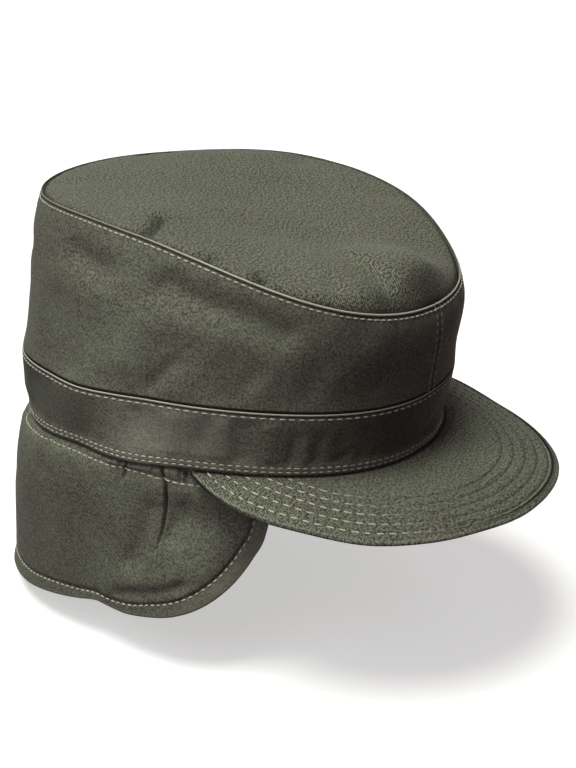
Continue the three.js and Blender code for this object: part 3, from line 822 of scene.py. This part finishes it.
def sewing_tree():
    tree = bpy.data.node_groups.new("row of stitches", "GeometryNodeTree")
    for name, kind in SEWING_INPUTS.items():
        tree.interface.new_socket(name, in_out="INPUT", socket_type="NodeSocket" + kind)
    tree.interface.new_socket("Stitches", in_out="OUTPUT", socket_type="NodeSocketGeometry")
    given = add(tree, "NodeGroupInput").outputs
    width = given["Thread width"]
    path = add(tree, "GeometryNodeMeshToCurve", {"Mesh": given["Seam"]})
    steps = add(tree, "GeometryNodeResampleCurve", {"Curve": path, "Length": given["Pitch"]}, mode="LENGTH")
    outward = add(tree, "GeometryNodeInputNamedAttribute", {"Name": "outward"}, data_type="FLOAT_VECTOR")
    tangent = add(tree, "GeometryNodeInputTangent")
    laid = add(tree, "FunctionNodeAxesToRotation", {"Primary Axis": tangent, "Secondary Axis": outward},
               primary_axis="X", secondary_axis="Z")
    sway, growth = [
        add(tree, "FunctionNodeRandomValue", {"Min": least, "Max": most, "Seed": given["Seed"]},
            data_type="FLOAT_VECTOR")
        for least, most in (SWAY, GROWTH)
    ]
    swayed = add(tree, "FunctionNodeRotateRotation", {"Rotation": laid, "Rotate By": sway},
                 rotation_space="LOCAL")
    size = add(tree, "ShaderNodeCombineXYZ", {"X": given["Stitch length"], "Y": width, "Z": width})
    grown = add(tree, "ShaderNodeVectorMath", {0: growth, 1: size}, operation="MULTIPLY")
    dash = add(tree, "GeometryNodeMeshUVSphere", {"Segments": 8, "Rings": 6, "Radius": 0.5})
    lying = add(tree, "GeometryNodeTransform", {"Geometry": dash, "Rotation": (0, math.pi / 2, 0)})
    smooth = add(tree, "GeometryNodeSetShadeSmooth", {"Geometry": lying})
    placed = add(tree, "GeometryNodeInstanceOnPoints",
                 {"Points": steps, "Instance": smooth, "Rotation": swayed, "Scale": grown})
    real = add(tree, "GeometryNodeRealizeInstances", {"Geometry": placed})
    dyed = add(tree, "GeometryNodeSetMaterial", {"Geometry": real, "Material": given["Thread"]})
    add(tree, "NodeGroupOutput", {"Stitches": dyed})
    return tree


STITCHING = sewing_tree()
print("the sewing tree has", len(STITCHING.nodes), "nodes")

# %% [markdown]
# ## Thread and paths
# Each path is read off the finished surface, so that the thread lies on the cloth as it really curves,
# folds and channels included. The surface's own slope tells each stitch which way is out.
# %% Follow a surface, and sew along it
THREAD_LIFT = 0.05  # how far the middle of a stitch lies over the cloth
NUDGE = 0.05  # the small step, in degrees, that finds a surface's slope


def path_on(surface, first, second):
    """Points along a surface, and its outward direction there. first and second are its two coordinates."""
    point = surface(first, second, 0)
    sideways = surface(first + NUDGE, second, 0) - surface(first - NUDGE, second, 0)
    step = 0.002 if np.max(np.abs(second)) <= 1.001 else 0.1  # a share of the surface, or millimetres
    upwards = surface(first, second + step, 0) - surface(first, second - step, 0)
    outward = np.cross(sideways, upwards)
    return point, outward / np.linalg.norm(outward, axis=-1, keepdims=True)


def sew(name, paths, thread, pitch, length, seed, width=0.7):
    """Sews rows of stitches along paths of (points, outward directions) and returns them as one mesh."""
    points, outward = (np.concatenate(part) for part in zip(*paths))
    starts = set(np.cumsum([len(path[0]) for path in paths]).tolist())
    guide = bpy.data.meshes.new(name + "_path")
    edges = [(index - 1, index) for index in range(1, len(points)) if index not in starts]
    guide.from_pydata((points + THREAD_LIFT * outward) * MM, edges, [])
    arrow = guide.attributes.new("outward", "FLOAT_VECTOR", "POINT")
    arrow.data.foreach_set("vector", outward.ravel())
    holder = in_scene(name + "_path", guide)
    sewing = holder.modifiers.new("sewing", "NODES")
    sewing.node_group = STITCHING
    values = {"Pitch": pitch * MM, "Stitch length": length * MM, "Thread width": width * MM, "Seed": seed,
              "Thread": thread}
    for port in STITCHING.interface.items_tree:
        if port.name in values:
            sewing[port.identifier] = values[port.name]
    bpy.context.view_layer.update()
    worked = holder.evaluated_get(bpy.context.evaluated_depsgraph_get())
    mesh = bpy.data.meshes.new_from_object(worked)
    bpy.data.objects.remove(holder)
    mesh.name = name
    mesh.materials.clear()  # the nodes leave an empty slot before the thread's
    mesh.materials.append(thread)
    mesh.polygons.foreach_set("material_index", [0] * len(mesh.polygons))
    print(name, "has", len(mesh.polygons), "faces")
    return in_scene(name, mesh)


# %% [markdown]
# ## Cotton twill
# The cap is cotton twill, dyed olive grey: two threads over, one under, which leaves fine slanting ribs.
# The real ribs are about 0.6 mm apart, too fine for the picture, so they are drawn 0.9 mm apart. The dye
# is a little uneven from thread to thread. The colour is painted paler where an edge has rubbed and where a
# highlight falls, and painted darker as shade in the grooves. Matt cotton has no gloss, but its loose
# fibres catch light at the rim, which the sheen gives. A photograph of cloth could be laid on instead, but
# noise and waves in real millimetres never repeat and need no picture.
# %% Colours and scales
def linear(code):
    """An sRGB hex colour as the linear red, green, blue and alpha that shaders take."""
    parts = [int(code[place : place + 2], 16) / 255 for place in (1, 3, 5)]
    return (*[part / 12.92 if part <= 0.04045 else ((part + 0.055) / 1.055) ** 2.4 for part in parts], 1)


def per_mm(size):
    """A texture's scale for features of that size in millimetres, on a map in metres."""
    return 1 / (size * MM)


DARK_DYE = "#49443f"
PALE_DYE = "#8e937c"
PAINTED_SHADE = "#1d1a17"  # painted shade, for the grooves and under the edges
WEAVE_SLANT = math.radians(28)
RIB_PITCH = 0.9
WAVE_LENGTH = 0.314  # of a wave texture with a scale of 1
CLOUDS = ((1, 1, 0.7), (3.2, 2, 0.5), (34, 3, 0.55))  # threads, slubs and dyeing: size, detail, roughness
TWILL_RELIEF = 0.3


def blank(name):
    """A new material and its empty tree."""
    material = bpy.data.materials.new(name)
    material.use_nodes = True
    material.node_tree.nodes.clear()
    return material, material.node_tree


def cotton_twill(name, wear_and_painted_light, grain=0.62):
    """Twill, with the dye's unevenness, paler marks for wear and painted highlights, and darker marks for
    painted shade.
    """
    material, tree = blank(name)
    cloth = add(tree, "ShaderNodeUVMap", uv_map="cloth")
    slanted = add(tree, "ShaderNodeMapping", {"Vector": cloth, "Rotation": (0, 0, WEAVE_SLANT)})
    ribs = add(tree, "ShaderNodeTexWave",
               {"Vector": slanted, "Scale": per_mm(RIB_PITCH) * WAVE_LENGTH, "Distortion": 2.2, "Detail": 2,
                "Detail Scale": 1.6, "Detail Roughness": 0.6}).outputs["Fac"]
    threads, slubs, dyeing = [
        add(tree, "ShaderNodeTexNoise",
            {"Vector": cloth, "Scale": per_mm(size), "Detail": detail, "Roughness": rough}).outputs["Fac"]
        for size, detail, rough in CLOUDS
    ]
    speckle = add(tree, "ShaderNodeMath", {0: ribs, 1: 0.16, 2: threads}, operation="MULTIPLY_ADD")
    mottle = add(tree, "ShaderNodeMapRange",
                 {"Value": speckle, "From Min": 0.46, "From Max": 0.7, "To Min": 0.5 - 0.5 * grain,
                  "To Max": 0.5 + 0.5 * grain})
    uneven = add(tree, "ShaderNodeMath", {0: slubs, 1: dyeing}, operation="ADD")
    faded = add(tree, "ShaderNodeMapRange",
                {"Value": uneven, "From Min": 0.7, "From Max": 1.3, "To Min": -0.2, "To Max": 0.2})
    shade = add(tree, "ShaderNodeMath", {0: mottle, 1: faded}, operation="ADD", use_clamp=True)
    dyed = add(tree, "ShaderNodeMix", {"Factor": shade, 6: linear(DARK_DYE), 7: linear(PALE_DYE)},
               data_type="RGBA").outputs[2]
    # Positive marks paint the pale colour of wear and highlights; negative marks paint shade.
    mark = add(tree, "ShaderNodeAttribute", attribute_name="wear_and_painted_light").outputs["Fac"]
    with_wear_and_highlight = add(tree, "ShaderNodeMix", {"Factor": mark, 6: dyed, 7: linear(wear_and_painted_light)},
                    data_type="RGBA").outputs[2]
    painted_shade_amount = add(tree, "ShaderNodeMath", {0: mark, 1: -1}, operation="MULTIPLY")
    with_painted_shade = add(tree, "ShaderNodeMix", {"Factor": painted_shade_amount, 6: with_wear_and_highlight, 7: linear(PAINTED_SHADE)},
                       data_type="RGBA").outputs[2]
    height = add(tree, "ShaderNodeMath", {0: ribs, 1: 0.2, 2: threads}, operation="MULTIPLY_ADD")
    bump = add(tree, "ShaderNodeBump", {"Strength": 0.16, "Distance": TWILL_RELIEF * MM, "Height": height})
    rough = add(tree, "ShaderNodeMapRange",
                {"Value": threads, "From Min": 0.3, "From Max": 0.7, "To Min": 0.82, "To Max": 0.96})
    shader = add(tree, "ShaderNodeBsdfPrincipled",
                 {"Base Color": with_painted_shade, "Roughness": rough, "Normal": bump, "Sheen Weight": 0.05,
                  "Specular IOR Level": 0.1})
    add(tree, "ShaderNodeOutputMaterial", {"Surface": shader})
    return material


# The second colour is the pale that wear and painted highlights take.
crown_twill = cotton_twill("cotton twill, crown", "#eeeed8")
top_twill = cotton_twill("cotton twill, crown top", "#eeeed8", grain=2)  # specks from years of sun
band_twill = cotton_twill("cotton twill, band", "#eaead4")
visor_twill = cotton_twill("cotton twill, visor", "#a5a692", grain=1.3)
flap_twill = cotton_twill("cotton twill, curtain", "#999b86")

# %% [markdown]
# ## Sewing thread
# Corespun thread is a polyester core wrapped in cotton, twisted from two plies. It takes the dye less
# than the cloth does, so it shows a shade paler. The twist is drawn as slanting bands, 0.8 mm apart.
# The visor's rows are painted pale on the wearer's right, where light catches them, and painted dark
# elsewhere as shade, so that thread's colour changes across the visor.
# %% The thread's finish
PLY_PITCH = 0.8
PLY_RELIEF = 0.1
PAINTED_LIT_TO, PAINTED_SHADE_FROM = -66, -42  # places across the visor, from the cap's middle, from painted light to painted shade


def corespun_thread(name, dark, pale, painted_shade_colour=None):
    """Twisted thread. With a painted shade colour it keeps its pale colour, painted light, on the wearer's
    right, and takes the painted shade colour elsewhere.
    """
    material, tree = blank(name)
    place = add(tree, "ShaderNodeTexCoord").outputs["Object"]
    turned = add(tree, "ShaderNodeMapping", {"Vector": place, "Rotation": (0.5, 0.7, 0.4)})
    scale = per_mm(PLY_PITCH) * WAVE_LENGTH
    plies = add(tree, "ShaderNodeTexWave", {"Vector": turned, "Scale": scale}).outputs["Fac"]
    colour = add(tree, "ShaderNodeMix", {"Factor": plies, 6: linear(dark), 7: linear(pale)},
                 data_type="RGBA").outputs[2]
    # painted shade: the thread turns dark away from the wearer's right
    if painted_shade_colour:
        across = add(tree, "ShaderNodeSeparateXYZ", {"Vector": place})
        kept = add(tree, "ShaderNodeMapRange",
                   {"Value": across, "From Min": PAINTED_LIT_TO * MM, "From Max": PAINTED_SHADE_FROM * MM})
        colour = add(tree, "ShaderNodeMix", {"Factor": kept, 6: colour, 7: linear(painted_shade_colour)},
                     data_type="RGBA").outputs[2]
    bump = add(tree, "ShaderNodeBump", {"Strength": 0.4, "Distance": PLY_RELIEF * MM, "Height": plies})
    shader = add(tree, "ShaderNodeBsdfPrincipled",
                 {"Base Color": colour, "Roughness": 0.7, "Normal": bump, "Sheen Weight": 0.1})
    add(tree, "ShaderNodeOutputMaterial", {"Surface": shader})
    return material


khaki_thread = corespun_thread("corespun thread, khaki grey", "#b9b8a0", "#e4e3cd")
# Painted light and shade: pale thread on the wearer's right, painted shade colour elsewhere.
lit_and_shaded_thread = corespun_thread("corespun thread, painted light and shade", "#c2c1aa", "#ecebd8", painted_shade_colour="#26241e")
# A dark olive thread, drawn darker than the cloth as painted shade from the band over the visor's seam row.
olive_thread = corespun_thread("corespun thread, dark olive", "#3a3830", "#4c4a3e")

# %% [markdown]
# ## Sew every seam
# A cap's maker sews in an order, and the rows below follow it: the front and back seams of the crown,
# the top seam, the band's two edges, the curtain's casing and hem, and last the quilting of the visor.
# %% Crown and band
around = np.linspace(-180, 180, 721)


def wall_row(angle, below_top):
    """A path on the side wall, a distance under the top seam."""
    tall = panel_height(angle, 1) - wall_height(angle, 0)
    return path_on(wall_surface, angle, 1 - below_top / tall)


top_path = wall_row(around, TOP_ROW)
thread_top = sew("thread_top_seam", [top_path], khaki_thread, pitch=3.1, length=2.3, seed=2)
share = np.linspace(0.02, 0.94, 60)
turn = math.degrees(SEAM_ROW / MEAN_RADIUS)
seam_paths = [path_on(wall_surface, 0 * share + seam + side * turn, share)
              for seam in (0, 180) for side in (-1, 1)]
thread_seams = sew("thread_crown_seams", seam_paths, khaki_thread, pitch=3.1, length=2.3, seed=3,
                   width=0.5)
upper_path = path_on(band_surface, around, band_height(around) - UPPER_ROW)
thread_upper = sew("thread_band_upper", [upper_path], khaki_thread, pitch=3.9, length=2.7, seed=4,
                   width=0.6)
lower_paths = [path_on(band_surface, around, 0 * around + row) for row in LOWER_ROWS]
thread_lower = sew("thread_band_lower", lower_paths, khaki_thread, pitch=3.4, length=2.4, seed=5)

# %% Curtain
angle = np.linspace(CURTAIN_START + 1, 359 - CURTAIN_START, 600)
casing = path_on(curtain_surface, angle, hem_height(angle) - casing_at(from_front(angle)))
thread_casing = sew("thread_casing", [casing], khaki_thread, pitch=3.5, length=2.5, seed=6)


def inside_line(line, distance):
    """The line moved inwards by a distance at each point, without the loops that corners would give."""
    along = np.gradient(line, axis=0)
    inwards = np.stack([-along[:, 1], along[:, 0]], -1) / np.linalg.norm(along, axis=1, keepdims=True)
    moved = line + inwards * distance[:, None]
    return moved[distance_to(moved, line) > distance * 0.96]


def evenly(line, step):
    """The same line with its points a step apart."""
    length = np.concatenate([[0], np.cumsum(np.linalg.norm(np.diff(line, axis=0), axis=1))])
    places = np.linspace(0, length[-1], int(length[-1] / step))
    return np.stack([np.interp(places, length, part) for part in line.T], -1)


edge_line = evenly(CURTAIN_EDGE, step=0.5)
edge_angle = np.degrees(edge_line[:, 0] / MEAN_RADIUS)
hem_line = evenly(inside_line(edge_line, hem_row_at(from_front(edge_angle))), step=0.8)
hem_angle = np.degrees(hem_line[:, 0] / MEAN_RADIUS)
kept = hem_line[:, 1] < hem_height(hem_angle) - 1
hem = path_on(curtain_surface, hem_angle[kept], hem_line[kept, 1])
thread_hem = sew("thread_hem", [hem], khaki_thread, pitch=3.3, length=2.1, seed=7, width=0.8)

# %% Visor
TIP_MARGIN = 0.3  # degrees
BAND_COVER = 2.2  # how much of the visor the band hides
ROW_MARGIN = 1.5  # a row ends where the visor reaches less than this beyond it
SEAM_ENDS = (-46, 34)  # degrees
columns = np.linspace(-VISOR_SPREAD + TIP_MARGIN, VISOR_SPREAD - TIP_MARGIN, 500)
shares = np.linspace(0.02, 1, 240)
inside = distance_to(visor_surface(columns[None, :], shares[:, None] + 0 * columns, 0), VISOR_EDGE)


def visor_row(distance):
    """The path on the visor at a distance from its edge, where it comes out from under the band."""
    found = [(column, np.interp(-distance, -inside[:, index], shares))
             for index, column in enumerate(columns) if inside[:, index].max() > distance + ROW_MARGIN]
    angle, share = np.array(found).T
    root, edge = visor_ends(angle)
    shown = share * np.linalg.norm(edge - root, axis=-1) > BAND_COVER
    return path_on(visor_surface, angle[shown], share[shown])


rows = [visor_row(row) for row in VISOR_ROWS]
thread_visor = sew("thread_visor_rows", rows, lit_and_shaded_thread, pitch=4.9, length=3.3, seed=8, width=0.72)
angle = np.linspace(*SEAM_ENDS, 240)
root, edge = visor_ends(angle)
from_root = np.linalg.norm(oval_point(HEM_OVAL, angle, 0, 0) - root, axis=-1) + seam_place(angle)
seam_row = path_on(visor_surface, angle, from_root / np.linalg.norm(edge - root, axis=-1))
thread_seam = sew("thread_visor_seam", [seam_row], olive_thread, pitch=3.6, length=2.6, seed=9)

# %% [markdown]
# ## Put the pieces on the frame
# Each cloth takes its finish, stands for its CAD node, and rides with the only body there is.
# %% Finish and attach
for piece, material, node, slot in (
    (crown_top, top_twill, "crown_top", "crown_twill"),
    (wall_left, crown_twill, "crown_side_left", "crown_twill"),
    (wall_right, crown_twill, "crown_side_right", "crown_twill"),
    (band, band_twill, "band", "band_twill"),
    (visor, visor_twill, "visor", "visor_twill"),
    (ear_flap, flap_twill, "ear_flap", "flap_twill"),
):
    piece.data.materials.append(material)
    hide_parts(node)
    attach(piece, "root")
threads = (thread_top, thread_seams, thread_upper, thread_lower, thread_casing, thread_hem, thread_visor,
           thread_seam)
for piece in threads:
    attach(piece, "root")

# %% [markdown]
# ## The studio
# The cap is shown on a plain pale sweep: a floor that curves up into a wall far away, so that no edge or
# corner shows from any side. A soft lamp hangs overhead, a small softbox stands close on the wearer's
# right, as the bright right side and the dark front say, and a weak lamp keeps the left side readable.
# A dim even light from all round, a little pink, stands for the walls of the room.
# %% Floor and wall in one sweep
SWEEP = ((1.0, 0.0), (4.0, 0.0), (7.0, 0.15), (9.0, 0.9), (10.0, 2.4), (10.3, 5.0), (10.3, 9.0))  # metres
FLOOR_BELOW = 0.002  # from the cap's lowest point


def studio_sweep():
    turns = np.radians(np.arange(0, 360, 5))
    count = len(turns)
    floor_height = cad_box[0].z - FLOOR_BELOW
    points = [(reach * math.cos(turn), reach * math.sin(turn), floor_height + rise)
              for reach, rise in SWEEP for turn in turns]
    faces = [list(range(count))]
    for row in range(0, len(points) - count, count):
        for step in range(count):
            after = (step + 1) % count
            faces.append([row + step, row + count + step, row + count + after, row + after])
    mesh = bpy.data.meshes.new("studio_sweep")
    mesh.from_pydata(points, [], faces)
    mesh.shade_smooth()
    return in_scene("studio_sweep", mesh)


def matt_paint(name, colour):
    material, tree = blank(name)
    place = add(tree, "ShaderNodeTexCoord").outputs["Object"]
    roller = add(tree, "ShaderNodeTexNoise", {"Vector": place, "Scale": 3.0, "Detail": 2}).outputs["Fac"]
    rough = add(tree, "ShaderNodeMapRange", {"Value": roller, "To Min": 0.9, "To Max": 1})
    shader = add(tree, "ShaderNodeBsdfPrincipled",
                 {"Base Color": linear(colour), "Roughness": rough, "Specular IOR Level": 0.1,
                  "Emission Color": linear(colour), "Emission Strength": 0.6})
    add(tree, "ShaderNodeOutputMaterial", {"Surface": shader})
    return material


sweep = studio_sweep()
sweep.data.materials.append(matt_paint("matt wall paint, white", "#f4f4f2"))
sweep.visible_diffuse = False
sweep.visible_shadow = False

# %% Lamps
SUNS = {
    "overhead lamp": (-115, 76, 2.1, (0.97, 1, 0.94)),
    "fill lamp": (125, 18, 0.4, (0.98, 0.99, 1)),
}  # degrees from the front, degrees up, strength, colour
SUN_SPREAD = 30  # degrees
SOFTBOX_PLACE = (-84, 0.24, 0.12)  # degrees from the front, metres from the middle, metres up
SOFTBOX_AIM = Vector((0, 0, 0.02))
SOFTBOX_SIZE = 0.2
SOFTBOX_WATTS = 0.13
ROOM_COLOUR = (1.0, 0.45, 0.9, 1)
ROOM_STRENGTH = 0.045


def direction(side, rise):
    """The way to a place at an angle from the front and an angle up, both in radians."""
    return Vector((math.sin(side) * math.cos(rise), -math.cos(side) * math.cos(rise), math.sin(rise)))


def lamp(name, kind, strength, colour, towards):
    """A lamp that shines back from the way it is turned."""
    light = bpy.data.lights.new(name, kind)
    light.energy = strength
    light.color = colour
    made = in_scene(name, light)
    made.rotation_mode = "QUATERNION"
    made.rotation_quaternion = towards.to_track_quat("Z", "Y")
    return made


for name, (side, rise, strength, colour) in SUNS.items():
    sun = lamp(name, "SUN", strength, colour, direction(math.radians(side), math.radians(rise)))
    sun.data.angle = math.radians(SUN_SPREAD)
side, away, height = SOFTBOX_PLACE
place = direction(math.radians(side), 0) * away + Vector((0, 0, height))
key = lamp("key softbox", "AREA", SOFTBOX_WATTS, (0.96, 0.96, 1), place - SOFTBOX_AIM)
key.location = place
key.data.shape = "DISK"
key.data.size = SOFTBOX_SIZE
key.visible_camera = False
world = bpy.data.worlds.new("room")
bpy.context.scene.world = world
world.use_nodes = True
room = world.node_tree.nodes["Background"]
room.inputs["Color"].default_value = ROOM_COLOUR
room.inputs["Strength"].default_value = ROOM_STRENGTH
bpy.context.scene.view_settings.view_transform = "Standard"

# %% [markdown]
# ## The camera
# The camera stands where the photographer stood: on the wearer's right, a little towards the front and
# above. The lens and the distance come from fitting the cap's seams to the picture.
# %% Place the camera
CAMERA_SIDE = -55.9578  # degrees
CAMERA_RISE = 20.8415
CAMERA_ROLL = -0.0554
CAMERA_AWAY = 0.650  # metres
AIM_RIGHT = 0.02581
AIM_UP = 0.00577
LENS = 65.51  # millimetres

side, rise, roll = (math.radians(value) for value in (CAMERA_SIDE, CAMERA_RISE, CAMERA_ROLL))
back = direction(side, rise)
right = Vector((math.cos(side), math.sin(side), 0))
above = back.cross(right)
place = back * CAMERA_AWAY + right * AIM_RIGHT + above * AIM_UP
level_right = right * math.cos(roll) + above * math.sin(roll)
level_up = above * math.cos(roll) - right * math.sin(roll)
lens = bpy.data.cameras.new("camera")
lens.lens = LENS
lens.sensor_width = 36
lens.clip_start = 0.01
lens.clip_end = 60
camera = in_scene("camera", lens)
turned = Matrix((level_right, level_up, back)).transposed()
camera.matrix_world = Matrix.Translation(place) @ turned.to_4x4()
bpy.context.scene.camera = camera
print("the camera is", round(place.length, 3), "m from the middle of the head opening")
